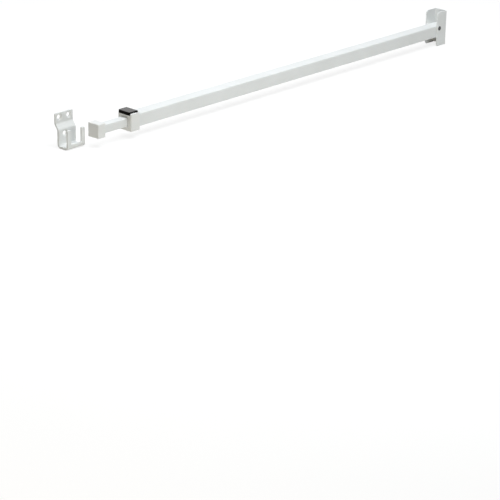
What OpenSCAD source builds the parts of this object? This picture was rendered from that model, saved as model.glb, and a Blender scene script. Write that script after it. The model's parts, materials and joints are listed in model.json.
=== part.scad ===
// Telescoping security bar for a sliding patio door, with its jamb bracket and its receiver bracket.
// Millimetres. The origin is the centre of the jamb bracket's mounting face, +X points into the
// door frame, the bar runs along -X and +Z is up.

/* [Outer tube] */
// Side of the square outer tube
outer_w = 19.05; // [17:0.05:23]
// Wall of the outer tube
outer_wall = 1.2; // [0.9:0.1:1.4]
// Length of the outer tube
outer_len = 697; // [620:1:900]
// Outside corner radius of the outer tube
outer_corner_r = 1.6; // [1.5:0.1:2.4]

/* [Inner tube] */
// Side of the square inner tube
inner_w = 12.7; // [11:0.1:13]
// Wall of the inner tube
inner_wall = 1.2; // [0.8:0.1:1.5]
// Length of the inner tube
inner_len = 560; // [450:1:600]
// Outside corner radius of the inner tube
inner_corner_r = 1.6; // [1.6:0.1:2.2]
// Length of inner tube that shows between the cap and the collar
shown_len = 45.6; // [20:0.1:80]

/* [End cap] */
// Side of the square cap
cap_w = 20.5; // [18:0.1:24]
// Length of the cap along the bar
cap_len = 13.6; // [11:0.1:18]
// Depth of the socket in the cap
cap_socket = 9; // [6:0.1:10]
// Edge radius of the cap
cap_edge_r = 1; // [0.5:0.1:1.5]
// Diameter of the pin that holds the cap
cap_pin_d = 3; // [2:0.1:4]

/* [Guides] */
// Length of the bush in the outer tube's mouth
bush_len = 30; // [22:1:45]
// Length of the slider on the inner tube's hidden end
tail_len = 25; // [16:1:40]
// Length of the slider's plug inside the inner tube
tail_plug_len = 18; // [12:1:30]
// Depth of the two grooves round the slider
tail_groove = 0.8; // [0.4:0.1:1.2]
// Diameter of the rivet through the slider's plug
tail_rivet_d = 3; // [2:0.1:4]
// Play on each side of a face that slides
slide_play = 0.1; // [0.05:0.01:0.2]
// Room on each side of a piece that is pushed into another
insert_gap = 0.05; // [0.02:0.01:0.08]

/* [Lock collar] */
// Height and depth of the square collar
collar_w = 26; // [25.2:0.1:29]
// Length of the collar along the bar
collar_len = 17; // [16.5:0.1:24]
// Thickness of the wall that covers the outer tube's end
collar_lip = 3; // [2:0.1:4]
// Edge radius of the collar
collar_edge_r = 1.4; // [0.6:0.1:2]
// Room round the inner tube in the collar's end wall
lip_gap = 0.3; // [0.2:0.05:0.5]
// Diameter of the screws under the collar
collar_screw_d = 2.5; // [2:0.1:3]
// Distance of the screws from the collar's tube end
collar_screw_in = 4.5; // [4:0.1:6]
// Distance between the two screws
collar_screw_pitch = 10; // [7:0.1:11]

/* [Cam lever] */
// Distance of the lever's pin from the collar's left face
cam_pin_in = 11.9; // [11.4:0.1:12]
// Height of the lever's pin above the collar's top
cam_pin_over = 0.3; // [0.2:0.05:0.4]
// Diameter of the lever's pin
cam_pin_d = 1.9; // [1.6:0.1:2]
// Radius of the lever's round back end
knuckle_r = 3.05; // [2.8:0.05:3.1]
// Height of the lever's top above the pin
lever_rise = 2.1; // [2:0.05:2.3]
// Width of the lever across the bar
lever_w = 22.4; // [21:0.1:23.6]
// Thickness of the lever's thumb plate
lever_t = 1.3; // [1:0.1:1.8]
// Thickness of the finger lip over the collar's left face
lip_t = 1.3; // [1:0.1:2]
// Drop of the finger lip below the lever's pin
lip_drop = 1.8; // [0.8:0.1:1.9]
// Radius of the lever's corners, seen from above
lever_corner_r = 1.8; // [0.8:0.1:2.5]
// Radius of the cam
cam_r = 4; // [3.8:0.05:4.1]
// Distance of the cam's centre from the pin
cam_throw = 0.5; // [0.4:0.05:0.6]
// Lead of the cam's centre from straight down
cam_lead = 30; // [25:1:40]
// Width of the cam
cam_w = 8.6; // [7:0.1:9]
// Thickness of each lug that holds the pin
lug_t = 2.6; // [2:0.1:3]
// Radius of each lug round the pin
lug_r = 1.5; // [1.4:0.05:1.5]
// Room between the lever and the collar
lever_gap = 0.2; // [0.15:0.01:0.3]

/* [Brake] */
// Length of the brake shoe along the bar
shoe_len = 8; // [6:0.1:8.2]
// Width of the brake shoe
shoe_w = 8; // [6:0.1:8.4]
// Thickness of the rubber facing
pad_t = 0.6; // [0.4:0.1:0.9]
// Gap at rest above and below the brake
brake_gap = 0.1; // [0.08:0.01:0.15]
// Room round the shoe in its window
window_gap = 0.3; // [0.2:0.05:0.5]

/* [Jamb bracket] */
// Height of the bracket
bracket_h = 54.9; // [50:0.1:70]
// Length of the ears from the mounting face
ear_len = 24; // [23:0.1:30]
// Thickness of the bracket's sheet
bracket_t = 2; // [1.5:0.1:2.4]
// Inside radius of the bracket's folds
bracket_fold_r = 1.2; // [0.8:0.1:2]
// Radius of the ears' free corners
ear_corner_r = 4.2; // [2:0.1:7]
// Distance between the two screw holes in the web
jamb_pitch = 42; // [40.5:0.1:44]
// Diameter of the screw holes
screw_d = 5.5; // [4:0.1:6]
// Diameter of the countersinks
sink_d = 9.5; // [7.5:0.1:10]
// Depth of the countersinks
sink_t = 1.4; // [0.8:0.1:1.4]

/* [Pivot] */
// Distance of the pivot from the mounting face
pivot_in = 18.6; // [17.5:0.1:19.2]
// Height of the pivot above the middle of the mounting face
pivot_up = 1.45; // [0:0.05:3]
// Height of the pivot above the bar's axis
pivot_rise = 5.5; // [4:0.1:5.5]
// Diameter of the pivot pin
pivot_d = 4; // [3:0.1:4.2]
// Outside diameter of the sleeve round the pin
sleeve_d = 5.5; // [5:0.1:5.6]
// Diameter of the pin's head
head_d = 7; // [6:0.1:9]
// Height of the pin's head
head_h = 1.8; // [1.2:0.1:2.5]
// Diameter of the push-on ring
clip_d = 9; // [8:0.1:12]
// Thickness of the push-on ring
clip_t = 0.9; // [0.6:0.1:1.4]
// Length of pin that shows past the push-on ring
pin_tip = 1.4; // [0.8:0.1:2.5]
// Running clearance of the pins in their holes, on the radius
pin_play = 0.05; // [0.02:0.01:0.08]
// Diameter of the washers beside the tube
washer_d = 11; // [9:0.1:12]
// Thickness of the washers
washer_t = 0.5; // [0.4:0.05:0.8]
// Gap on each side of a washer
washer_gap = 0.06; // [0.04:0.01:0.1]

/* [Hinge plug] */
// Length of the plug inside the tube
plug_len = 46; // [40:1:60]
// Thickness of the plug's end flange
plug_flange_t = 1; // [0.8:0.1:1.4]
// Gap between the flange and the web, which stops the bar when it is level
heel_gap = 0.2; // [0.15:0.01:0.3]
// Distance of the plug's rivet from the tube's end
plug_rivet_in = 34; // [28:0.5:38]
// Diameter of the plug's rivet
plug_rivet_d = 3.2; // [2.4:0.1:4]

/* [Receiver bracket] */
// Width of the receiver
rec_w = 32; // [30:0.1:40]
// Thickness of the receiver's sheet
rec_t = 3; // [2.5:0.1:3.4]
// Inside radius of the receiver's folds
rec_fold_r = 3; // [1.5:0.1:3]
// Height of the flat screw flange
flange_h = 13.6; // [13:0.1:18]
// Height of the flat plate below the joggle
plate_h = 17.6; // [17.2:0.1:24]
// Flat length of the joggle's slope, which rises 3 in 4
joggle_run = 6.6; // [4:0.1:9]
// Room for the cap between the fork and the plate, over the cap's length
cap_room = 1.7; // [1:0.1:4]
// Height of the fork
fork_h = 28.6; // [24:0.1:32]
// Room on each side of the inner tube in the fork's slot
slot_room = 3.1; // [1.5:0.1:3.4]
// Height of the band under the fork's slot
fork_band = 8; // [7:0.1:11]
// Radius of the slot's lower corners
slot_corner_r = 1.5; // [0.8:0.1:2]
// Radius of the sheet's outer corners
rec_corner_r = 2.6; // [1.5:0.1:3]
// Distance between the flange's two screw holes
rec_pitch = 17.2; // [16:0.1:19]
// Height of those holes above the flange's fold
rec_hole_up = 7.2; // [6.2:0.1:8]
// Diameter of the receiver's countersinks
rec_sink_d = 10.4; // [8:0.1:11.4]
// Depth of the receiver's countersinks
rec_sink_t = 2.2; // [1:0.1:2.3]
// Distance of the lower hole above the receiver's foot
low_hole_up = 19.2; // [18.4:0.1:20]
// Distance of the lower hole to the left of the receiver's middle
low_hole_left = 3.5; // [0:0.1:5]
// Distance from the cap's end to the receiver's middle
rec_beside = 21.2; // [21:0.1:60]
// Distance of the fork's front behind the cap's back
rec_behind = 0; // [-2:0.05:40]

/* [Hidden] */
$fn = 48;
// Overlap that cutting tools reach past a face
cut = 0.5;

white_paint = "#e9ebea";
white_plastic = "#f1f1ee";
black_plastic = "#17150f";
steel = "#8d9095";
grey_rubber = "#4a4a4a";

// Bar: places along X, with heights above the bar's axis
outer_bore = outer_w - 2 * outer_wall;
outer_bore_r = outer_corner_r - outer_wall;
inner_bore = inner_w - 2 * inner_wall;
inner_bore_r = max(inner_corner_r - inner_wall, 0.1);
outer_x1 = -(bracket_t + heel_gap + plug_flange_t);
outer_x0 = outer_x1 - outer_len;
collar_x0 = outer_x0 - collar_lip;
cap_x1 = collar_x0 - shown_len;
cap_x0 = cap_x1 - cap_len;
inner_x0 = cap_x1 - cap_socket;
inner_x1 = inner_x0 + inner_len;
collar_top = collar_w / 2;
sleeve_hole_d = sleeve_d + 2 * insert_gap;

// Cam lever and brake
cam_x = collar_x0 + cam_pin_in;
cam_z = collar_top + cam_pin_over;
cam_low = cam_r + cam_throw * cos(cam_lead);
cam_sweep = cam_r + cam_throw + lever_gap;
lug_in = cam_w / 2 + 2 * lever_gap;
shoe_top = cam_z - cam_low - brake_gap;
pad_low = inner_w / 2 + brake_gap;
shoe_low = pad_low + pad_t;
window_len = shoe_len + 2 * window_gap;
window_w = shoe_w + 2 * window_gap;

// Jamb bracket
bracket_in = outer_w + 2 * (washer_t + 2 * washer_gap);
bracket_w = bracket_in + 2 * bracket_t;
bracket_fold_out = bracket_fold_r + bracket_t;
swing_r = pivot_in - bracket_t - heel_gap;

// Receiver
rec_fold_out = rec_fold_r + rec_t;
joggle_cos = 0.8;
joggle_sin = 0.6;
joggle_angle = acos(joggle_cos);
joggle = (2 * rec_fold_r + rec_t) * (1 - joggle_cos) + joggle_run * joggle_sin;
joggle_h = (2 * rec_fold_r + rec_t) * joggle_sin + joggle_run * joggle_cos;
rec_deep = cap_len + cap_room + 2 * rec_t;
rec_x = cap_x0 - rec_beside;
rec_front = cap_w / 2 + rec_behind;
rec_foot = -bracket_h / 2;
rec_back = rec_front + rec_deep + joggle;
rec_top = rec_foot + rec_fold_out + plate_h + joggle_h + flange_h;
slot_w = inner_w + 2 * slot_room;
prong_w = (rec_w - slot_w) / 2;

// Square of side w with round corners, centred
module rounded_square(w, r) {
  square([w - 2 * r, w], center = true);
  square([w, w - 2 * r], center = true);
  for (sx = [-1, 1], sy = [-1, 1])
    translate([sx * (w / 2 - r), sy * (w / 2 - r)]) circle(r);
}

// Rectangle with round corners, centred
module rounded_rect(a, b, r) {
  square([a - 2 * r, b], center = true);
  square([a, b - 2 * r], center = true);
  for (sx = [-1, 1], sy = [-1, 1])
    translate([sx * (a / 2 - r), sy * (b / 2 - r)]) circle(r);
}

// Square bar along X from x0 to x1
module square_bar(x0, x1, w, r) {
  translate([x0, 0, 0]) rotate([0, 90, 0]) linear_extrude(x1 - x0) rounded_square(w, r);
}

// Block along X from x0 to x1 whose edges are all rounded
module soft_block(x0, x1, w, r) {
  len = x1 - x0;
  translate([x0 + len / 2, 0, 0]) intersection() {
    rotate([0, 90, 0]) linear_extrude(len, center = true) rounded_square(w, r);
    rotate([90, 0, 0]) linear_extrude(w, center = true) rounded_rect(len, w, r);
    linear_extrude(w, center = true) rounded_rect(len, w, r);
  }
}

// Round rod along Y, centred on the XZ plane
module rod_y(d, len) {
  rotate([90, 0, 0]) cylinder(d = d, h = len, center = true);
}

// Box centred across the bar, from one X and Z to another
module box_y(x0, x1, w, z0, z1) {
  translate([x0, -w / 2, z0]) cube([x1 - x0, w, z1 - z0]);
}

// Puts a piece of the bar on the bar's axis
module on_bar() {
  translate([0, 0, pivot_up - pivot_rise]) children();
}

// Puts a piece on the pivot's axis
module on_pivot() {
  translate([-pivot_in, 0, pivot_up]) children();
}

// Flat run of a folded strip, $strip_w wide and $strip_t thick, with the next piece at its end
module run(len) {
  cube([$strip_w, $strip_t, len]);
  translate([0, 0, len]) children();
}

// Fold of a strip by angle a, towards the strip's +Y face when a is positive
module fold(a) {
  axis_y = a > 0 ? $strip_t + $fold_r : -$fold_r;
  translate([0, axis_y, 0]) {
    mirror([0, a > 0 ? 1 : 0, 0]) rotate([90, 0, 90])
      rotate_extrude(angle = abs(a)) translate([$fold_r, 0]) square([$strip_t, $strip_w]);
    rotate([-a, 0, 0]) translate([0, -axis_y, 0]) children();
  }
}

// Tool that rounds an outer corner at the origin of a sheet lying along Y, material towards sx, sz
module corner_tool(r, depth, sx, sz) {
  mirror([sx > 0 ? 0 : 1, 0, 0]) mirror([0, 0, sz > 0 ? 0 : 1])
    rotate([90, 0, 0]) linear_extrude(depth, center = true) difference() {
      translate([-cut, -cut]) square(r + cut);
      translate([r, r]) circle(r);
    }
}

// Screw hole along Z through a sheet of thickness t whose head side is at z = 0
module screw_hole(t, head_d, head_t) {
  translate([0, 0, -t - cut]) cylinder(d = screw_d, h = t + 2 * cut);
  translate([0, 0, -head_t]) cylinder(d1 = screw_d, d2 = head_d, h = head_t);
  cylinder(d = head_d, h = cut);
}

// Round peg along +Z with a domed head below z = 0
module domed_peg(d, len, peg_head_d, peg_head_h) {
  dome_r = (pow(peg_head_d / 2, 2) + pow(peg_head_h, 2)) / (2 * peg_head_h);
  cylinder(d = d, h = len);
  rotate_extrude() intersection() {
    translate([0, dome_r - peg_head_h]) circle(dome_r);
    translate([0, -peg_head_h]) square([peg_head_d / 2, peg_head_h]);
  }
}

module jamb_bracket() {
  $strip_w = bracket_h;
  $strip_t = bracket_t;
  $fold_r = bracket_fold_r;
  color(white_paint) difference() {
    translate([-ear_len, -bracket_w / 2, bracket_h / 2]) rotate([0, 90, 0])
      run(ear_len - bracket_fold_out) fold(90)
      run(bracket_w - 2 * bracket_fold_out) fold(90)
      run(ear_len - bracket_fold_out);
    for (sz = [-1, 1]) {
      translate([-ear_len, 0, sz * bracket_h / 2])
        corner_tool(ear_corner_r, bracket_w + 2 * cut, 1, -sz);
      translate([-bracket_t, 0, sz * jamb_pitch / 2]) rotate([0, -90, 0])
        screw_hole(bracket_t, sink_d, sink_t);
    }
    on_pivot() rod_y(pivot_d + 2 * insert_gap, bracket_w + 2 * cut);
  }
}

module pivot_pin() {
  shank = bracket_w + clip_t + pin_tip;
  color(steel) on_pivot() translate([0, -bracket_w / 2, 0]) rotate([-90, 0, 0])
    difference() {
      domed_peg(pivot_d, shank, head_d, head_h);
      translate([0, 0, -head_h - cut]) cylinder(d = pivot_d / 2, h = head_h / 2 + cut);
    }
}

module pin_clip() {
  tooth_w = pivot_d / 5;
  color(steel) on_pivot() translate([0, bracket_w / 2, 0]) rotate([-90, 0, 0]) difference() {
    cylinder(d = clip_d, h = clip_t);
    translate([0, 0, -cut]) cylinder(d = pivot_d + 2 * insert_gap, h = clip_t + 2 * cut);
    for (a = [0:60:300])
      rotate(a) translate([0, -tooth_w / 2, -cut])
        cube([(pivot_d + clip_d) / 4, tooth_w, clip_t + 2 * cut]);
  }
}

module receiver_bracket() {
  $strip_w = rec_w;
  $strip_t = rec_t;
  $fold_r = rec_fold_r;
  sheet_reach = 2 * (rec_deep + joggle);
  fork_top = rec_foot + fork_h;
  slot_low = rec_foot + fork_band;
  color(white_paint) difference() {
    translate([rec_x - rec_w / 2, rec_back, rec_top]) rotate([180, 0, 0])
      run(flange_h) fold(joggle_angle) run(joggle_run) fold(-joggle_angle) run(plate_h)
      fold(90) run(rec_deep - 2 * rec_fold_out) fold(90)
      run(fork_h - rec_fold_out);
    // The slot for the inner tube, open at the top
    translate([rec_x, rec_front + rec_t / 2, (slot_low + fork_top) / 2]) rotate([90, 0, 0])
      linear_extrude(rec_t + 2 * cut, center = true) {
        rounded_rect(slot_w, fork_top - slot_low, slot_corner_r);
        translate([-slot_w / 2, 0]) square([slot_w, fork_top - slot_low]);
      }
    for (sx = [-1, 1]) {
      // Round tips of the prongs and round corners of the flange
      translate([rec_x + sx * rec_w / 2, rec_front + rec_t / 2, fork_top])
        corner_tool(rec_corner_r, rec_t + 2 * cut, -sx, -1);
      translate([rec_x + sx * slot_w / 2, rec_front + rec_t / 2, fork_top])
        corner_tool(rec_corner_r / 2, rec_t + 2 * cut, sx, -1);
      translate([rec_x + sx * rec_w / 2, rec_back, rec_top])
        corner_tool(rec_corner_r, 2 * (rec_t + cut), -sx, -1);
      translate([rec_x + sx * rec_pitch / 2, rec_back - rec_t, rec_top - flange_h + rec_hole_up])
        rotate([90, 0, 0]) screw_hole(rec_t, rec_sink_d, rec_sink_t);
    }
    translate([rec_x - low_hole_left, rec_front + rec_deep - rec_t, rec_foot + low_hole_up])
      rotate([90, 0, 0]) screw_hole(rec_t, rec_sink_d, rec_sink_t);
  }
}

module outer_tube() {
  color(white_paint) on_bar() difference() {
    square_bar(outer_x0, outer_x1, outer_w, outer_corner_r);
    square_bar(outer_x0 - cut, outer_x1 + cut, outer_bore, outer_bore_r);
    translate([-pivot_in, 0, pivot_rise]) rod_y(sleeve_hole_d, outer_w + 2 * cut);
    // Window under the cam
    box_y(cam_x - cam_sweep, cam_x + cam_sweep, cam_w + 2 * lever_gap, 0, outer_w / 2 + cut);
    translate([outer_x1 - plug_rivet_in, 0, -outer_w / 2 - cut])
      cylinder(d = plug_rivet_d + 2 * insert_gap, h = outer_wall + 2 * cut);
    collar_screw_places() cylinder(d = collar_screw_d + 2 * insert_gap, h = outer_w / 2);
  }
}

module hinge_plug() {
  plug_x0 = outer_x1 - plug_len;
  color(white_plastic) on_bar() difference() {
    union() {
      square_bar(plug_x0, outer_x1, outer_bore - 2 * insert_gap, outer_bore_r);
      // End flange: a heel below the pivot, and trimmed to the swing above it
      intersection() {
        square_bar(outer_x1, outer_x1 + plug_flange_t, outer_w, outer_corner_r);
        translate([-pivot_in, 0, pivot_rise]) union() {
          rod_y(2 * swing_r, outer_w + 2 * cut);
          box_y(0, swing_r, outer_w + 2 * cut, -outer_w, 0);
        }
      }
    }
    translate([-pivot_in, 0, pivot_rise]) rod_y(sleeve_hole_d, outer_w + 2 * cut);
    translate([outer_x1 - plug_rivet_in, 0, -outer_w / 2 - cut])
      cylinder(d = plug_rivet_d + 2 * insert_gap, h = outer_w / 2 + cut);
  }
}

module pivot_sleeve() {
  color(steel) on_pivot() difference() {
    rod_y(sleeve_d, outer_w);
    rod_y(pivot_d + 2 * pin_play, outer_w + 2 * cut);
  }
}

module hinge_washers() {
  washer_y = outer_w / 2 + washer_gap + washer_t / 2;
  color(white_plastic) for (sy = [-1, 1])
    on_pivot() translate([0, sy * washer_y, 0]) difference() {
      rod_y(washer_d, washer_t);
      rod_y(pivot_d + 2 * pin_play, washer_t + 2 * cut);
    }
}

module plug_rivet() {
  color(steel) on_bar() translate([outer_x1 - plug_rivet_in, 0, -outer_w / 2])
    domed_peg(plug_rivet_d, outer_w / 2 - outer_wall, 1.8 * plug_rivet_d, plug_rivet_d / 3);
}

// Places of the screws under the collar, at the collar's lower face
module collar_screw_places() {
  for (sy = [-1, 1])
    translate([collar_x0 + collar_len - collar_screw_in, sy * collar_screw_pitch / 2, -collar_top])
      children();
}

module lock_collar() {
  lug_low = outer_w / 2 + insert_gap;
  color(white_plastic) on_bar() difference() {
    union() {
      difference() {
        soft_block(collar_x0, collar_x0 + collar_len, collar_w, collar_edge_r);
        // Trough for the lever's round back end, between two cheeks
        translate([cam_x, 0, cam_z]) rod_y(2 * (knuckle_r + lever_gap), lever_w + 2 * lever_gap);
      }
      for (sy = [-1, 1]) translate([cam_x, sy * (lug_in + lug_t / 2), 0]) {
        translate([0, 0, cam_z]) rod_y(2 * lug_r, lug_t);
        box_y(-lug_r, lug_r, lug_t, lug_low, cam_z);
      }
    }
    square_bar(outer_x0, collar_x0 + collar_len + cut, outer_w + 2 * insert_gap, outer_corner_r);
    square_bar(collar_x0 - cut, outer_x0 + cut, inner_w + 2 * lip_gap, inner_corner_r);
    // Pocket in which the cam turns
    translate([cam_x, 0, cam_z]) rod_y(2 * cam_sweep, cam_w + 2 * lever_gap);
    translate([cam_x, 0, cam_z]) rod_y(cam_pin_d, collar_w + 2 * cut);
    collar_screw_places() {
      cylinder(d = collar_screw_d + 2 * insert_gap, h = collar_w / 2);
      translate([0, 0, -cut]) cylinder(d = 2 * collar_screw_d, h = cut);
      cylinder(d1 = 2 * collar_screw_d, d2 = collar_screw_d, h = collar_screw_d / 2);
    }
  }
}

module collar_screws() {
  shank = (collar_w - outer_w) / 2 + outer_wall;
  color(steel) on_bar() collar_screw_places() difference() {
    union() {
      cylinder(d = collar_screw_d, h = shank);
      cylinder(d1 = 2 * collar_screw_d - 2 * insert_gap, d2 = collar_screw_d - 2 * insert_gap,
               h = collar_screw_d / 2);
    }
    // Cross recess
    for (a = [0, 90])
      rotate(a) translate([0, 0, -cut + collar_screw_d / 4])
        cube([1.2 * collar_screw_d, collar_screw_d / 4, 2 * cut], center = true);
  }
}

module guide_bush() {
  color(white_plastic) on_bar() difference() {
    square_bar(outer_x0, outer_x0 + bush_len, outer_bore - 2 * insert_gap, outer_bore_r);
    square_bar(outer_x0 - cut, outer_x0 + bush_len + cut, inner_w + 2 * slide_play, inner_corner_r);
    box_y(cam_x - window_len / 2, cam_x + window_len / 2, window_w, 0, outer_w / 2);
    // Relief for the screw tips
    collar_screw_places() cylinder(d = collar_screw_d + 2 * lip_gap, h = outer_w / 2);
  }
}

module cam_pin() {
  color(steel) on_bar() translate([cam_x, 0, cam_z])
    rod_y(cam_pin_d - 2 * insert_gap, lever_w - 2 * lip_t);
}

module inner_tube() {
  color(white_paint) on_bar() difference() {
    square_bar(inner_x0, inner_x1, inner_w, inner_corner_r);
    square_bar(inner_x0 - cut, inner_x1 + cut, inner_bore, inner_bore_r);
    cap_pin_place() cylinder(d = cap_pin_d + 2 * insert_gap, h = cap_w / 2);
    translate([inner_x1 - tail_plug_len / 2, 0, 0])
      rod_y(tail_rivet_d + 2 * insert_gap, inner_w + 2 * cut);
  }
}

// Place of the cap's pin, at the cap's lower face
module cap_pin_place() {
  translate([cap_x1 - cap_socket / 2, 0, -cap_w / 2]) children();
}

module end_cap() {
  color(white_plastic) on_bar() difference() {
    soft_block(cap_x0, cap_x1, cap_w, cap_edge_r);
    square_bar(inner_x0, cap_x1 + cut, inner_w + 2 * insert_gap, inner_corner_r);
    cap_pin_place() translate([0, 0, -cut]) cylinder(d = cap_pin_d + 2 * insert_gap, h = cap_w / 2);
  }
}

module cap_pin() {
  color(steel) on_bar() cap_pin_place()
    cylinder(d = cap_pin_d, h = (cap_w - inner_w) / 2 + inner_wall);
}

module tail_guide() {
  slider_w = outer_bore - 2 * slide_play;
  groove_w = tail_len / 8;
  color(white_plastic) on_bar() difference() {
    union() {
      difference() {
        square_bar(inner_x1, inner_x1 + tail_len, slider_w, outer_bore_r);
        for (x = [tail_len / 3, 2 * tail_len / 3])
          translate([inner_x1 + x - groove_w / 2, 0, 0]) difference() {
            square_bar(0, groove_w, slider_w + 2 * cut, outer_bore_r);
            square_bar(-cut, groove_w + cut, slider_w - 2 * tail_groove, outer_bore_r);
          }
      }
      square_bar(inner_x1 - tail_plug_len, inner_x1, inner_bore - 2 * insert_gap, inner_bore_r);
    }
    translate([inner_x1 - tail_plug_len / 2, 0, 0])
      rod_y(tail_rivet_d + 2 * insert_gap, inner_w + 2 * cut);
  }
}

module tail_rivet() {
  color(steel) on_bar() translate([inner_x1 - tail_plug_len / 2, 0, 0]) rod_y(tail_rivet_d, inner_w);
}

module cam_lever() {
  plate_x0 = -(cam_pin_in + lever_gap + lip_t);
  plate_low = lever_rise - lever_t;
  slot_in = lug_in - lever_gap;
  slot_t = lug_t + 2 * lever_gap;
  slot_r = lug_r + lever_gap;
  color(black_plastic) on_bar() translate([cam_x, 0, cam_z]) difference() {
    union() {
      // Thumb plate with its lip over the collar's left face, and round corners seen from above
      difference() {
        union() {
          box_y(plate_x0, 0, lever_w, plate_low, lever_rise);
          box_y(plate_x0, plate_x0 + lip_t, lever_w, -lip_drop, lever_rise);
        }
        for (sy = [-1, 1])
          translate([plate_x0, sy * lever_w / 2, 0]) rotate([sy * 90, 0, 0])
            corner_tool(lever_corner_r, 4 * knuckle_r, 1, 1);
      }
      // Round back end with a flat top
      intersection() {
        rod_y(2 * knuckle_r, lever_w);
        box_y(-2 * knuckle_r, 2 * knuckle_r, lever_w + cut, -2 * knuckle_r, lever_rise);
      }
      // Eccentric cam, flat where it faces away from the plate
      intersection() {
        translate([-cam_throw * sin(cam_lead), 0, -cam_throw * cos(cam_lead)]) rod_y(2 * cam_r, cam_w);
        box_y(-cam_sweep, knuckle_r, cam_w + cut, -cam_sweep, knuckle_r / 2);
      }
    }
    // Slots that turn past the collar's lugs
    for (sy = [-1, 1])
      translate([0, sy * (slot_in + slot_t / 2), 0])
        box_y(-slot_r, cam_sweep, slot_t, -cam_sweep, slot_r);
    rod_y(cam_pin_d + 2 * pin_play, lever_w + 2 * cut);
  }
}

module brake_shoe() {
  color(steel) on_bar() translate([cam_x, 0, shoe_low])
    linear_extrude(shoe_top - shoe_low) rounded_rect(shoe_len, shoe_w, pad_t);
}

module brake_pad() {
  color(grey_rubber) on_bar() translate([cam_x, 0, pad_low])
    linear_extrude(pad_t) rounded_rect(shoe_len, shoe_w, pad_t);
}

jamb_bracket();
pivot_pin();
pin_clip();
receiver_bracket();
outer_tube();
hinge_plug();
pivot_sleeve();
hinge_washers();
plug_rivet();
lock_collar();
collar_screws();
guide_bush();
cam_pin();
inner_tube();
end_cap();
cap_pin();
tail_guide();
tail_rivet();
cam_lever();
brake_shoe();
brake_pad();
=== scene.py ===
import json
from math import pi, radians, sqrt

import bpy
from mathutils import Matrix, Vector


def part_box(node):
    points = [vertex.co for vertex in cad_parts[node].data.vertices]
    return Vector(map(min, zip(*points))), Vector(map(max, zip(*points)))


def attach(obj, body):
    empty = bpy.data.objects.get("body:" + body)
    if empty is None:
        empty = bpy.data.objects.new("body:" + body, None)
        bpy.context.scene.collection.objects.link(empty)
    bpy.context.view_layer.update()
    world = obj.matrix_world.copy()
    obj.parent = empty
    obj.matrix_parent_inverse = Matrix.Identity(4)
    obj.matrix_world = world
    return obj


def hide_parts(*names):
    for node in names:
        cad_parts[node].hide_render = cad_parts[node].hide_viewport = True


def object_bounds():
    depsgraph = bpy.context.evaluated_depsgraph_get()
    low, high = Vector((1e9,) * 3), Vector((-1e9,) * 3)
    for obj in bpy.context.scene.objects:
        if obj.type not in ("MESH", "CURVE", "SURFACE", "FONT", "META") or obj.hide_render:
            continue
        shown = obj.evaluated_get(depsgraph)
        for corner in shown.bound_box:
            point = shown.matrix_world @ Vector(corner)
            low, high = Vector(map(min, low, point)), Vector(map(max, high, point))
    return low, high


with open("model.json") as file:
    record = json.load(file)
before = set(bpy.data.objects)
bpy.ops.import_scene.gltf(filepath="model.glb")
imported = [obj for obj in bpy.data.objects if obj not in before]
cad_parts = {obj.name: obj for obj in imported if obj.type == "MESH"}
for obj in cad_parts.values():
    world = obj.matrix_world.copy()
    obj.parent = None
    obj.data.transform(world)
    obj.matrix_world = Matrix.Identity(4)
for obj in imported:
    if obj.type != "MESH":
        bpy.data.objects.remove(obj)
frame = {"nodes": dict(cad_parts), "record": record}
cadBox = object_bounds()
scene = bpy.context.scene
nodes = frame["nodes"]
bodyOf = {n: b for b, names in frame["record"]["behaviour"]["bodies"].items() for n in names}
slotOf = {s["node"]: s["material_slot"] for s in frame["record"]["subparts"]}
mm = 0.001
squarely = 0.9   # how nearly a face has to look along an axis to count as facing it
print("frame loaded:", len(nodes), "nodes")


# small helpers

def pickOnly(*objs):
    bpy.ops.object.select_all(action="DESELECT")
    for o in objs:
        o.select_set(True)
    bpy.context.view_layer.objects.active = objs[0]


def pickFaces(ob, wanted):
    # leaves the piece in edit mode, face by face, with only those faces selected
    bpy.ops.object.mode_set(mode="EDIT")
    bpy.ops.mesh.select_all(action="DESELECT")
    bpy.ops.object.mode_set(mode="OBJECT")
    for f in ob.data.polygons:
        f.select = wanted(f)
    bpy.ops.object.mode_set(mode="EDIT")
    bpy.ops.mesh.select_mode(type="FACE")


def backToObject():
    bpy.ops.mesh.select_mode(type="VERT")
    bpy.ops.object.mode_set(mode="OBJECT")


def applyAll(ob):
    pickOnly(ob)
    for m in list(ob.modifiers):
        bpy.ops.object.modifier_apply(modifier=m.name)


def setMaterial(ob, mat):
    ob.data.materials.clear()
    ob.data.materials.append(mat)


# shared shader groups

def newGroup(name, inputs, outputs):
    g = bpy.data.node_groups.new(name, "ShaderNodeTree")
    for label, kind, value in inputs:
        s = g.interface.new_socket(label, in_out="INPUT", socket_type=kind)
        s.default_value = value
    for label, kind in outputs:
        g.interface.new_socket(label, in_out="OUTPUT", socket_type=kind)
    return g, g.nodes.new("NodeGroupInput"), g.nodes.new("NodeGroupOutput")


def rampNode(tree, low, high, lowValue=0.0, highValue=1.0):
    r = tree.nodes.new("ShaderNodeMapRange")
    r.inputs["From Min"].default_value = low
    r.inputs["From Max"].default_value = high
    r.inputs["To Min"].default_value = lowValue
    r.inputs["To Max"].default_value = highValue
    return r


def noiseNode(tree, detail):
    n = tree.nodes.new("ShaderNodeTexNoise")
    n.inputs["Detail"].default_value = detail
    return n


def blendColours(tree, mask, low, high):
    mix = tree.nodes.new("ShaderNodeMix")
    mix.data_type = "RGBA"
    tree.links.new(mask, mix.inputs["Factor"])
    tree.links.new(low, mix.inputs[6])   # 6, 7 and 2 are its colour sockets
    tree.links.new(high, mix.inputs[7])
    return mix.outputs[2]


def blendValues(tree, mask, low, high):
    mix = tree.nodes.new("ShaderNodeMix")
    tree.links.new(mask, mix.inputs["Factor"])
    tree.links.new(low, mix.inputs[2])   # 2, 3 and 0 are its number sockets
    tree.links.new(high, mix.inputs[3])
    return mix.outputs[0]


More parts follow.
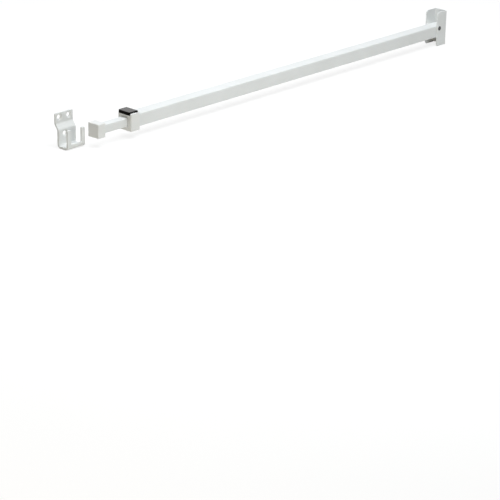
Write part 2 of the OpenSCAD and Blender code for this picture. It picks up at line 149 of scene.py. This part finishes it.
def toneAndRoughness(g, gi, go, pattern, span, tones, roughs):
    # one pattern carries colour and roughness between the group's paired inputs
    ramp = rampNode(g, *span)
    g.links.new(pattern, ramp.inputs["Value"])
    mask = ramp.outputs["Result"]
    tone = blendColours(g, mask, *[gi.outputs[t] for t in tones])
    rough = blendValues(g, mask, *[gi.outputs[r] for r in roughs])
    g.links.new(tone, go.inputs["Tone"])
    g.links.new(rough, go.inputs["Roughness"])


finishOutputs = [("Tone", "NodeSocketColor"), ("Roughness", "NodeSocketFloat"),
                 ("Height", "NodeSocketFloat")]
coatGrain = {"peelDetail": 2.0, "peelRough": 0.45, "cloudDetail": 4.0, "cloudSpan": (0.36, 0.64)}


def makeCoatGroup():
    # sprayed powder: orange peel, faint clouds in tone and gloss
    g, gi, go = newGroup(
        "sprayedCoat",
        [("Peel Scale", "NodeSocketFloat", 900.0), ("Cloud Scale", "NodeSocketFloat", 22.0),
         ("Light Tone", "NodeSocketColor", (0.8, 0.8, 0.8, 1)),
         ("Dark Tone", "NodeSocketColor", (0.7, 0.7, 0.7, 1)),
         ("Low Gloss", "NodeSocketFloat", 0.5), ("High Gloss", "NodeSocketFloat", 0.36)],
        finishOutputs)
    co = g.nodes.new("ShaderNodeTexCoord")
    peel = noiseNode(g, coatGrain["peelDetail"])
    peel.inputs["Roughness"].default_value = coatGrain["peelRough"]
    cloud = noiseNode(g, coatGrain["cloudDetail"])
    for noise, size in ((peel, "Peel Scale"), (cloud, "Cloud Scale")):
        g.links.new(co.outputs["Object"], noise.inputs["Vector"])
        g.links.new(gi.outputs[size], noise.inputs["Scale"])
    toneAndRoughness(g, gi, go, cloud.outputs["Fac"], coatGrain["cloudSpan"],
                     ("Dark Tone", "Light Tone"), ("Low Gloss", "High Gloss"))
    g.links.new(peel.outputs["Fac"], go.inputs["Height"])
    return g


lineGrain = {"detail": 3.0, "span": (0.35, 0.65)}


def makeBrushGroup():
    # fine drawn lines along one axis, for bare steel
    g, gi, go = newGroup(
        "drawnLines",
        [("Stretch", "NodeSocketVector", (60.0, 4000.0, 4000.0)),
         ("Bright", "NodeSocketColor", (0.6, 0.6, 0.6, 1)),
         ("Dull", "NodeSocketColor", (0.4, 0.4, 0.4, 1)),
         ("Smooth", "NodeSocketFloat", 0.25), ("Rough", "NodeSocketFloat", 0.45)],
        finishOutputs)
    co = g.nodes.new("ShaderNodeTexCoord")
    stretch = g.nodes.new("ShaderNodeVectorMath")
    stretch.operation = "MULTIPLY"
    g.links.new(co.outputs["Object"], stretch.inputs[0])
    g.links.new(gi.outputs["Stretch"], stretch.inputs[1])
    lines = noiseNode(g, lineGrain["detail"])
    lines.inputs["Scale"].default_value = 1.0
    g.links.new(stretch.outputs[0], lines.inputs["Vector"])
    toneAndRoughness(g, gi, go, lines.outputs["Fac"], lineGrain["span"],
                     ("Dull", "Bright"), ("Rough", "Smooth"))
    g.links.new(lines.outputs["Fac"], go.inputs["Height"])
    return g


coatGroup = makeCoatGroup()
brushGroup = makeBrushGroup()


# finishes

def groupMaterial(name, group, values, bump, metallic=0.0, ior=1.5):
    m = bpy.data.materials.new(name)
    m.use_nodes = True
    t = m.node_tree
    shader = t.nodes["Principled BSDF"]
    shader.inputs["Metallic"].default_value = metallic
    shader.inputs["IOR"].default_value = ior
    use = t.nodes.new("ShaderNodeGroup")
    use.node_tree = group
    for label, v in values.items():
        use.inputs[label].default_value = v
    t.links.new(use.outputs["Tone"], shader.inputs["Base Color"])
    t.links.new(use.outputs["Roughness"], shader.inputs["Roughness"])
    b = t.nodes.new("ShaderNodeBump")
    b.inputs["Strength"].default_value = bump["strength"]
    b.inputs["Distance"].default_value = bump["depth"] * mm
    t.links.new(use.outputs["Height"], b.inputs["Height"])
    t.links.new(b.outputs["Normal"], shader.inputs["Normal"])
    return m


whitePaint = groupMaterial(
    "white_powder_coat", coatGroup,
    {"Peel Scale": 950.0, "Cloud Scale": 18.0, "Light Tone": (0.80, 0.815, 0.82, 1),
     "Dark Tone": (0.77, 0.785, 0.785, 1), "Low Gloss": 0.5, "High Gloss": 0.38},
    {"strength": 0.22, "depth": 0.06})
whiteMoulding = groupMaterial(
    "white_moulding", coatGroup,
    {"Peel Scale": 3200.0, "Cloud Scale": 40.0, "Light Tone": (0.815, 0.82, 0.815, 1),
     "Dark Tone": (0.785, 0.79, 0.78, 1), "Low Gloss": 0.52, "High Gloss": 0.44},
    {"strength": 0.25, "depth": 0.03})
blackMoulding = groupMaterial(
    "black_gloss_moulding", coatGroup,
    {"Peel Scale": 1500.0, "Cloud Scale": 120.0, "Light Tone": (0.0065, 0.005, 0.004, 1),
     "Dark Tone": (0.004, 0.003, 0.0025, 1), "Low Gloss": 0.24, "High Gloss": 0.15},
    {"strength": 0.08, "depth": 0.03}, ior=1.08)
zincSteel = groupMaterial(
    "zinc_plated_steel", brushGroup,
    {"Stretch": (2500.0, 60.0, 2500.0), "Bright": (0.62, 0.63, 0.65, 1),
     "Dull": (0.44, 0.45, 0.47, 1), "Smooth": 0.26, "Rough": 0.44},
    {"strength": 0.12, "depth": 0.02}, metallic=1.0)
blackenedSteel = groupMaterial(
    "blackened_steel", brushGroup,
    {"Stretch": (1800.0, 60.0, 1800.0), "Bright": (0.13, 0.13, 0.135, 1),
     "Dull": (0.06, 0.06, 0.062, 1), "Smooth": 0.3, "Rough": 0.5},
    {"strength": 0.12, "depth": 0.02}, metallic=0.8)
greyRubber = groupMaterial(
    "grey_rubber", coatGroup,
    {"Peel Scale": 2600.0, "Cloud Scale": 200.0, "Light Tone": (0.075, 0.075, 0.075, 1),
     "Dark Tone": (0.05, 0.05, 0.05, 1), "Low Gloss": 0.85, "High Gloss": 0.72},
    {"strength": 0.4, "depth": 0.04})

# the lever's moulded skin only shines at a low angle
leverSkin = {"from": 0.40, "to": 0.62, "most": 0.8, "rough": 0.12, "blend": 0.5}


def addSkin(mat, skin):
    t = mat.node_tree
    shader = t.nodes["Principled BSDF"]
    shader.inputs["Coat Roughness"].default_value = skin["rough"]
    tilt = t.nodes.new("ShaderNodeLayerWeight")
    tilt.inputs["Blend"].default_value = skin["blend"]
    ramp = rampNode(t, skin["from"], skin["to"], 0.0, skin["most"])
    t.links.new(tilt.outputs["Facing"], ramp.inputs["Value"])
    t.links.new(ramp.outputs["Result"], shader.inputs["Coat Weight"])


addSkin(blackMoulding, leverSkin)
slotMaterial = {"white_paint": whitePaint, "white_plastic": whiteMoulding,
                "black_plastic": blackMoulding, "dark_steel": blackenedSteel,
                "steel": zincSteel, "grey_rubber": greyRubber}
for nodeName, ob in nodes.items():
    setMaterial(ob, slotMaterial[slotOf[nodeName]])
print("materials set")


def takesPlace(ob, nodeName):
    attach(ob, bodyOf[nodeName])
    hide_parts(nodeName)
    setMaterial(ob, slotMaterial[slotOf[nodeName]])


# pieces with softened edges, each made over its own solid

# edge is the round's size in mm; sides keeps it to the edges that lie on those outer faces;
# rim is how far in the square blocks get a supporting cut, past their moulded corner radius
softPieces = {
    "jamb_bracket": {"edge": 0.4, "rounds": 3},
    "receiver_bracket": {"edge": 0.5, "rounds": 3},
    "outer_tube": {"edge": 0.3, "rounds": 3, "sides": ("-x", "+x")},
    "inner_tube": {"edge": 0.3, "rounds": 3},
    "end_cap": {"edge": 0.5, "rounds": 3, "rim": 1.05},
    "lock_collar": {"edge": 0.4, "rounds": 3, "sides": ("-x", "+x"), "rim": 1.45},
    "cam_lever": {"edge": 0.4, "rounds": 4, "sides": ("-x", "-y", "+y", "+z"),
                  "lip": {"drop": 0.9, "within": 3.0}},   # the finger lip hangs a little lower
    "hinge_plug": {"edge": 0.3, "rounds": 3, "sides": ("+x",)},
    "hinge_washers": {"edge": 0.12, "rounds": 2},
    "pin_clip": {"edge": 0.12, "rounds": 2},
    "cap_pin": {"edge": 0.2, "rounds": 2},
    "cam_pin": {"edge": 0.2, "rounds": 2},
    "brake_shoe": {"edge": 0.25, "rounds": 2},
    "brake_pad": {"edge": 0.2, "rounds": 2},
    "guide_bush": {"edge": 0.2, "rounds": 2, "sides": ("-x", "+x")},
    "tail_guide": {"edge": 0.25, "rounds": 2},
    "tail_rivet": {"edge": 0.15, "rounds": 2},
    "pivot_sleeve": {"edge": 0.12, "rounds": 2},
}
# merge and onPlane in mm, angles in degrees
edgeWork = {"merge": 0.002, "onPlane": 0.05, "flatAngle": 0.5, "sharpAngle": 60, "smoothAngle": 40,
            "flatWeight": 90}


def cornersOf(ob):
    reach = [[v.co[i] for v in ob.data.vertices] for i in range(3)]
    return Vector([min(r) for r in reach]), Vector([max(r) for r in reach])


def lengthenLip(ob, lip):
    left = cornersOf(ob)[0].x
    pickFaces(ob, lambda f: f.normal.z < -squarely and f.center.x < left + lip["within"] * mm)
    bpy.ops.transform.translate(value=(0, 0, -lip["drop"] * mm))
    backToObject()


def pickSharpEdges(ob, sides):
    # leaves the piece in edit mode with the square edges selected
    bpy.ops.object.mode_set(mode="EDIT")
    bpy.ops.mesh.select_mode(type="EDGE")
    bpy.ops.mesh.select_all(action="DESELECT")
    bpy.ops.mesh.edges_select_sharp(sharpness=radians(edgeWork["sharpAngle"]))
    if not sides:
        return
    bpy.ops.object.mode_set(mode="OBJECT")
    low, high = cornersOf(ob)
    planes = []
    for side in sides:
        axis = "xyz".index(side[1])
        planes.append((axis, low[axis] if side[0] == "-" else high[axis]))

    def liesOn(edge, axis, at):
        ends = [ob.data.vertices[k].co[axis] for k in edge.vertices]
        return all(abs(e - at) < edgeWork["onPlane"] * mm for e in ends)

    wanted = [e.index for e in ob.data.edges
              if e.select and any(liesOn(e, axis, at) for axis, at in planes)]
    bpy.ops.object.mode_set(mode="EDIT")
    bpy.ops.mesh.select_all(action="DESELECT")
    bpy.ops.object.mode_set(mode="OBJECT")
    for k in wanted:
        ob.data.edges[k].select = True
    bpy.ops.object.mode_set(mode="EDIT")


def cutRims(ob, rim):
    # one cut inside each outer face, so that a long round is shaded apart from its corners
    low, high = cornersOf(ob)
    high.z = low.z + high.y - low.y   # the block is square, whatever stands on top of it
    bpy.ops.object.mode_set(mode="EDIT")
    for i in range(3):
        facing = Vector((0, 0, 0))
        facing[i] = 1
        for at in (low[i] + rim * mm, high[i] - rim * mm):
            bpy.ops.mesh.select_all(action="SELECT")
            bpy.ops.mesh.bisect(plane_co=facing * at, plane_no=facing,
                                threshold=edgeWork["merge"] * mm)
    bpy.ops.object.mode_set(mode="OBJECT")


def softCopy(nodeName, spec):
    ob = bpy.data.objects.new(nodeName + "_finished", nodes[nodeName].data.copy())
    scene.collection.objects.link(ob)
    pickOnly(ob)
    bpy.ops.object.mode_set(mode="EDIT")
    bpy.ops.mesh.select_all(action="SELECT")
    bpy.ops.mesh.remove_doubles(threshold=edgeWork["merge"] * mm)
    bpy.ops.mesh.dissolve_limited(angle_limit=radians(edgeWork["flatAngle"]))
    bpy.ops.object.mode_set(mode="OBJECT")
    if "lip" in spec:
        lengthenLip(ob, spec["lip"])
    pickSharpEdges(ob, spec.get("sides"))
    bpy.ops.mesh.bevel(offset=spec["edge"] * mm, segments=spec["rounds"], affect="EDGES",
                       clamp_overlap=False, loop_slide=False)
    backToObject()
    if "rim" in spec:
        cutRims(ob, spec["rim"])
    bpy.ops.object.shade_smooth_by_angle(angle=radians(edgeWork["smoothAngle"]))
    flat = ob.modifiers.new("flats", "WEIGHTED_NORMAL")   # big faces stay flat between the rounds
    flat.mode = "FACE_AREA"
    flat.weight = edgeWork["flatWeight"]
    flat.keep_sharp = True
    applyAll(ob)
    takesPlace(ob, nodeName)
    return ob


for nodeName, spec in softPieces.items():
    ob = softCopy(nodeName, spec)
    print("softened", nodeName, len(ob.data.polygons), "faces")


# turned pieces: an outline drawn point by point, then spun about its axis

turning = {"steps": 40, "merge": 0.004, "smoothAngle": 35}


def turned(name, outline, at, axis):
    # the outline is a list of (radius, distance along the axis) in mm
    bpy.ops.object.select_all(action="DESELECT")
    bpy.ops.mesh.primitive_plane_add(size=mm)
    ob = bpy.context.active_object
    ob.name = name
    along = Vector(axis)
    bpy.ops.object.mode_set(mode="EDIT")
    bpy.ops.mesh.select_all(action="SELECT")
    bpy.ops.mesh.merge(type="CENTER")
    here = Vector((0, 0, 0))
    for i, (radius, far) in enumerate(outline):
        there = Vector(at) + Vector((radius * mm, 0, 0)) + along * far * mm
        if i == 0:
            bpy.ops.transform.translate(value=there - here)
        else:
            bpy.ops.mesh.extrude_region_move(TRANSFORM_OT_translate={"value": there - here})
        here = there
    bpy.ops.mesh.select_all(action="SELECT")
    bpy.ops.mesh.spin(steps=turning["steps"], angle=2 * pi, center=at, axis=axis)
    bpy.ops.mesh.select_all(action="SELECT")
    bpy.ops.mesh.remove_doubles(threshold=turning["merge"] * mm)
    bpy.ops.mesh.normals_make_consistent(inside=False)
    bpy.ops.object.mode_set(mode="OBJECT")
    bpy.ops.object.shade_smooth_by_angle(angle=radians(turning["smoothAngle"]))
    return ob


def domeArc(headR, headH, fromR, points):
    # crown of a rivet head, from radius fromR out to its rim, distances from the crown's top
    ball = (headR ** 2 + headH ** 2) / (2 * headH)
    radii = [fromR + (headR - fromR) * i / points for i in range(points + 1)]
    return [(r, ball - sqrt(ball ** 2 - r ** 2)) for r in radii]


def headAndShank(p, long):
    # from the head's rim down the shank to its chamfered tip
    inward, upward = p["rimCut"]
    return [(p["head"], p["crown"] - upward), (p["head"] - inward, p["crown"]),
            (p["shank"], p["crown"]), (p["shank"], long - p["tipCut"]),
            (p["shank"] - p["tipCut"], long), (0, long)]


# bowl is the dimple's section, as shares of its radius and depth
pivotPin = {"shank": 2.0, "tipCut": 0.45, "head": 3.5, "crown": 1.8, "rim": 0.35,
            "rimCut": (0.1, 0.1), "crownPoints": 8, "dimple": 0.95, "dimpleDeep": 0.85,
            "dimpleLip": 0.2, "dimpleSoft": 0.12, "bowl": ((0.6, 1.0), (0.92, 0.55))}


def makePivotPin():
    low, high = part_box("pivot_pin")
    long = (high.y - low.y) / mm
    p = pivotPin
    crown = domeArc(p["head"], p["crown"] - p["rim"], p["dimple"] + p["dimpleLip"],
                    p["crownPoints"])
    outline = [(0, p["dimpleDeep"] + p["dimpleSoft"])]
    outline += [(p["dimple"] * wide, p["dimpleDeep"] * deep) for wide, deep in p["bowl"]]
    outline += [(p["dimple"], crown[0][1] + p["dimpleSoft"])]
    outline += crown + headAndShank(p, long)
    at = ((low.x + high.x) / 2, low.y, (low.z + high.z) / 2)
    ob = turned("pivot_pin_turned", outline, at, (0, 1, 0))
    takesPlace(ob, "pivot_pin")
    return ob


# stemBreak is where the drawn stem snapped off, past the stem's radius and below the crown
plugRivet = {"shank": 1.6, "tipCut": 0.2, "head": 2.88, "crown": 1.066, "rim": 0.2,
             "rimCut": (0.06, 0.05), "crownPoints": 7, "crownFrom": 0.18, "stem": 0.85,
             "stemDeep": 0.3, "stemBreak": ((-0.15, 0.32), (0.0, 0.42), (0.06, 0.5)),
             "stemLip": (0.12, 0.08)}


def makePlugRivet():
    low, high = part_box("plug_rivet")
    long = (high.z - low.z) / mm
    p = plugRivet
    crown = domeArc(p["head"], p["crown"] - p["rim"], p["stem"] + p["crownFrom"],
                    p["crownPoints"])
    outward, deep = p["stemLip"]
    outline = [(0, p["stemDeep"])]
    outline += [(p["stem"] + past, below) for past, below in p["stemBreak"]]
    outline += [(p["stem"] + outward, crown[0][1] + deep)]
    outline += crown + headAndShank(p, long)
    at = ((low.x + high.x) / 2, (low.y + high.y) / 2, low.z)
    ob = turned("plug_rivet_turned", outline, at, (0, 0, 1))
    takesPlace(ob, "plug_rivet")
    return ob


collarScrew = {"head": 2.45, "edge": 0.14, "cone": 1.25, "core": 1.0, "thread": 1.22,
               "pitch": 0.8, "neck": 0.2, "plainTip": 0.3, "tipCut": 0.15, "armReach": 2.1,
               "armWide": 0.75, "armDeep": 0.9, "armTaper": (0.4, 0.55), "smoothAngle": 30}


def makeArm(turn, at):
    # one tapered arm of the cross that a driver's tip fills
    c = collarScrew
    bpy.ops.object.select_all(action="DESELECT")
    bpy.ops.mesh.primitive_cube_add(size=1)
    arm = bpy.context.active_object
    bpy.ops.object.mode_set(mode="EDIT")
    bpy.ops.mesh.select_all(action="SELECT")
    bpy.ops.transform.resize(
        value=(2 * c["armReach"] * mm, c["armWide"] * mm, 2 * c["armDeep"] * mm))
    bpy.ops.object.mode_set(mode="OBJECT")
    pickFaces(arm, lambda f: f.normal.z > squarely)
    bpy.ops.transform.resize(value=(*c["armTaper"], 1))
    bpy.ops.mesh.select_mode(type="VERT")
    bpy.ops.mesh.select_all(action="SELECT")
    bpy.ops.transform.rotate(value=radians(turn), orient_axis="Z", center_override=(0, 0, 0))
    bpy.ops.transform.translate(value=at)
    bpy.ops.object.mode_set(mode="OBJECT")
    return arm


def cutCross(screw, at):
    for turn in (0, 90):
        arm = makeArm(turn, at)
        cut = screw.modifiers.new("cross", "BOOLEAN")
        cut.object = arm
        cut.operation = "DIFFERENCE"
        cut.solver = "EXACT"
        applyAll(screw)
        bpy.data.objects.remove(arm)


def makeCollarScrews():
    low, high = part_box("collar_screws")
    long = (high.z - low.z) / mm
    c = collarScrew
    outline = [(0, 0), (c["head"] - c["edge"], 0), (c["head"], c["edge"]), (c["thread"], c["cone"])]
    far = c["cone"] + c["neck"]
    while far + c["pitch"] < long - c["plainTip"]:   # thread rings on the shank
        outline += [(c["core"], far), (c["thread"], far + c["pitch"] / 2)]
        far += c["pitch"]
    outline += [(c["core"], far), (c["core"], long - c["tipCut"]),
                (c["core"] - c["tipCut"], long), (0, long)]
    apart = high.y - low.y - 2 * c["head"] * mm
    at = Vector(((low.x + high.x) / 2, low.y + c["head"] * mm, low.z))
    first = turned("collar_screws_turned", outline, at, (0, 0, 1))
    cutCross(first, at)
    second = first.copy()
    second.data = first.data.copy()
    scene.collection.objects.link(second)
    pickOnly(second)
    bpy.ops.object.mode_set(mode="EDIT")
    bpy.ops.mesh.select_all(action="SELECT")
    bpy.ops.transform.translate(value=(0, apart, 0))
    bpy.ops.object.mode_set(mode="OBJECT")
    pickOnly(first, second)
    bpy.ops.object.join()
    bpy.ops.object.shade_smooth_by_angle(angle=radians(c["smoothAngle"]))
    takesPlace(first, "collar_screws")
    return first


for maker in (makePivotPin, makePlugRivet, makeCollarScrews):
    ob = maker()
    print("turned", ob.name, len(ob.data.polygons), "faces")


# floor, light, camera

studio = {"floorDrop": 0.0004, "floorSize": 30.0, "floorGlow": 0.80, "floorShade": 0.26,
          "paper": (0.79, 0.775, 0.74), "paperRough": 0.9, "skyLight": 0.02,
          "skyTint": (1.0, 0.93, 0.82)}


def whiteForCamera(tree, plain, white):
    # the lens and reflections see plain white, other rays see the plain finish
    path = tree.nodes.new("ShaderNodeLightPath")
    seen = path.outputs["Is Camera Ray"]
    for ray in ("Is Glossy Ray", "Is Transmission Ray"):
        either = tree.nodes.new("ShaderNodeMath")
        either.operation = "MAXIMUM"
        tree.links.new(seen, either.inputs[0])
        tree.links.new(path.outputs[ray], either.inputs[1])
        seen = either.outputs[0]
    mix = tree.nodes.new("ShaderNodeMixShader")
    tree.links.new(seen, mix.inputs["Fac"])
    tree.links.new(plain, mix.inputs[1])
    tree.links.new(white, mix.inputs[2])
    return mix.outputs["Shader"]


def makeFloor():
    bpy.ops.object.select_all(action="DESELECT")
    bpy.ops.mesh.primitive_plane_add(size=studio["floorSize"],
                                     location=(0, 0, cadBox[0].z - studio["floorDrop"]))
    floor = bpy.context.active_object
    floor.name = "floor"
    mat = bpy.data.materials.new("pale_floor")
    mat.use_nodes = True
    t = mat.node_tree
    paper = t.nodes["Principled BSDF"]
    paper.inputs["Base Color"].default_value = (*studio["paper"], 1)
    paper.inputs["Roughness"].default_value = studio["paperRough"]
    glow = t.nodes.new("ShaderNodeEmission")
    glow.inputs["Strength"].default_value = studio["floorGlow"]
    shade = t.nodes.new("ShaderNodeBsdfDiffuse")   # lit part, so that the shadow stays faintly
    shade.inputs["Color"].default_value = (*[studio["floorShade"]] * 3, 1)
    sheet = t.nodes.new("ShaderNodeAddShader")
    t.links.new(glow.outputs["Emission"], sheet.inputs[0])
    t.links.new(shade.outputs["BSDF"], sheet.inputs[1])
    t.links.new(whiteForCamera(t, paper.outputs["BSDF"], sheet.outputs["Shader"]),
                t.nodes["Material Output"].inputs["Surface"])
    setMaterial(floor, mat)


def makeSky():
    world = bpy.data.worlds.new("studio")
    scene.world = world
    world.use_nodes = True
    t = world.node_tree
    sky = t.nodes["Background"]
    sky.inputs["Color"].default_value = (*studio["skyTint"], 1)
    sky.inputs["Strength"].default_value = studio["skyLight"]
    clean = t.nodes.new("ShaderNodeBackground")
    clean.inputs["Color"].default_value = (1, 1, 1, 1)
    clean.inputs["Strength"].default_value = 1.0
    t.links.new(whiteForCamera(t, sky.outputs["Background"], clean.outputs["Background"]),
                t.nodes["World Output"].inputs["Surface"])


# places in metres
softboxes = {
    "lowLeft": {"at": (-2.05, -1.00, 0.20), "aim": (-0.60, 0.0, 0.0), "size": 0.35, "watts": 3.2,
                "tint": (1.0, 0.86, 0.58)},
    "nearFront": {"at": (-0.50, -1.20, 0.40), "aim": (-0.50, 0.0, 0.0), "size": 0.4, "watts": 1.5,
                  "tint": (0.90, 0.96, 1.0)},
    "frontTop": {"at": (-0.50, -0.55, 1.15), "aim": (-0.50, 0.0, 0.0), "size": 0.6, "watts": 7.5,
                 "tint": (0.94, 0.985, 1.0)},
    "topLight": {"at": (-0.50, 0.10, 1.60), "aim": (-0.50, 0.0, 0.0), "size": 1.6, "watts": 24.0,
                 "tint": (0.97, 0.99, 1.0)},
}


def makeSoftbox(name, spec):
    lamp = bpy.data.lights.new(name, "AREA")
    lamp.size = spec["size"]
    lamp.energy = spec["watts"]
    lamp.color = spec["tint"]
    holder = bpy.data.objects.new(name, lamp)
    scene.collection.objects.link(holder)
    holder.location = spec["at"]
    towards = Vector(spec["aim"]) - holder.location
    holder.rotation_euler = towards.to_track_quat("-Z", "Y").to_euler()


lens = {"at": (-2.6202, -1.9978, 0.88425), "look": (0.68665, 0.63012, -0.36257),
        "up": (0.25506, 0.25822, 0.93181), "focal": 151.5, "sensor": 36.0,
        "near": 0.1, "far": 60.0}


def makeCamera():
    cam = bpy.data.cameras.new("camera")
    camOb = bpy.data.objects.new("camera", cam)
    scene.collection.objects.link(camOb)
    back = -Vector(lens["look"]).normalized()
    side = Vector(lens["up"]).cross(back).normalized()
    turn = Matrix((side, back.cross(side), back)).transposed().to_4x4()
    camOb.matrix_world = Matrix.Translation(Vector(lens["at"])) @ turn
    cam.lens = lens["focal"]
    cam.sensor_width = lens["sensor"]
    cam.clip_start = lens["near"]
    cam.clip_end = lens["far"]
    scene.camera = camOb


makeFloor()
makeSky()
for name, spec in softboxes.items():
    makeSoftbox(name, spec)
makeCamera()
scene.view_settings.view_transform = "Standard"
print("floor, lights and camera placed")
